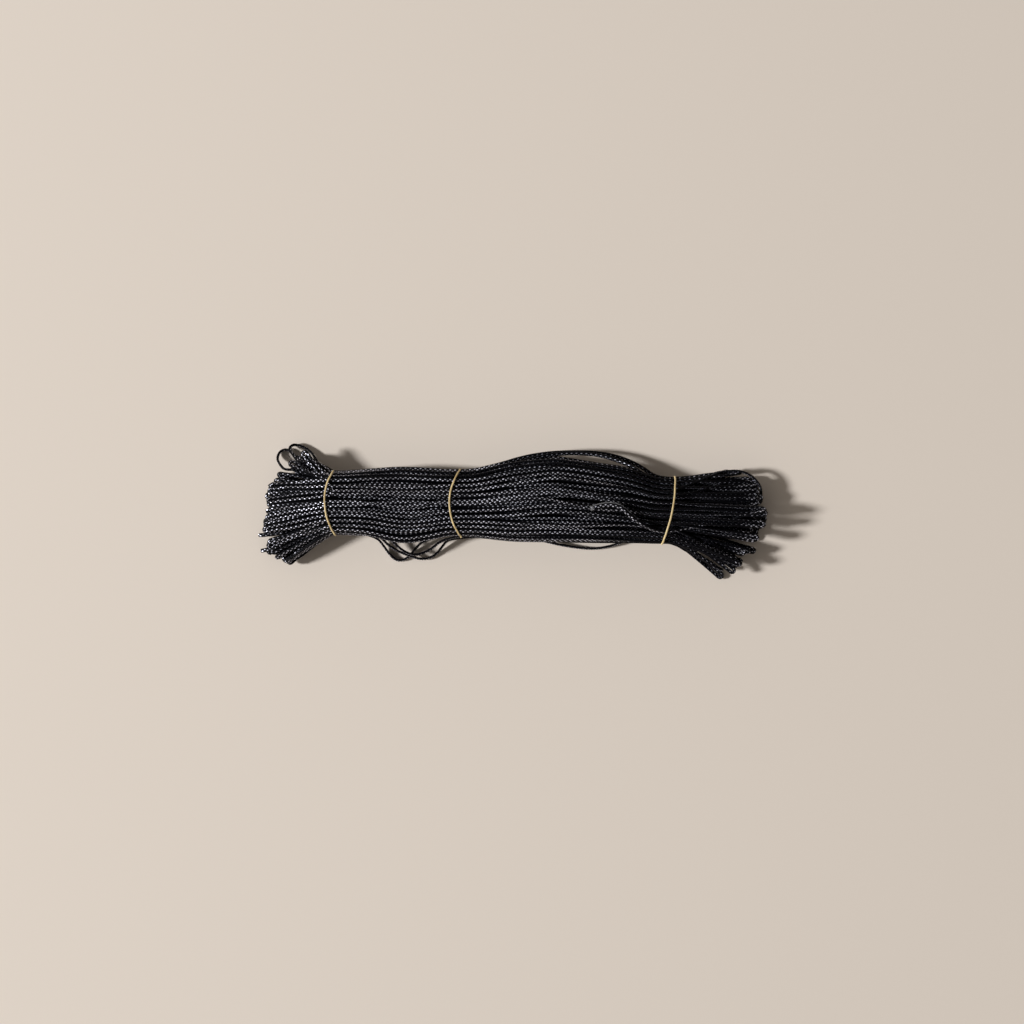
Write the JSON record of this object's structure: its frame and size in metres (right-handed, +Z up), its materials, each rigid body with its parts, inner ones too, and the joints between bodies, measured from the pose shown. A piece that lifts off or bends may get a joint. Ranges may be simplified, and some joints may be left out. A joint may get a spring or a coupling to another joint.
{
  "type": "hank of cord",
  "caption": "Long thin braided cord folded to and fro into a hank, held by rubber bands, with loose loops and one free cut end.",
  "frame": {"origin": "under the middle of the hank's box, on the surface that the hank lies on", "axes": "+X along the hank, towards the end with the two long fingers, +Y across it, towards the side with the tall end loop, +Z up"},
  "size_m": [0.3666, 0.0988, 0.0306],
  "materials": {
    "cord": "glossy black polyester braid with staggered white reflective picks",
    "rubber_band": "satin natural rubber, pale tan",
    "filler_yarn": "matt grey filler yarns"
  },
  "bodies": {
    "root": {"hank": "cord", "band_left": "rubber_band", "band_middle": "rubber_band", "band_right": "rubber_band", "loop_end_ring": "cord", "loop_end_tall": "cord", "slack_loop_long": "cord", "slack_loop_wide": "cord", "slack_loop_high": "cord", "side_strand_outer": "cord", "side_strand_inner": "cord", "slack_strand_right": "cord", "free_end_braid": "cord", "free_end_core": "filler_yarn", "fold_right_low": "cord", "fold_right_next": "cord", "fold_left_high": "cord", "fold_left_edge": "cord", "fold_left_low": "cord"}
  },
  "joints": []
}
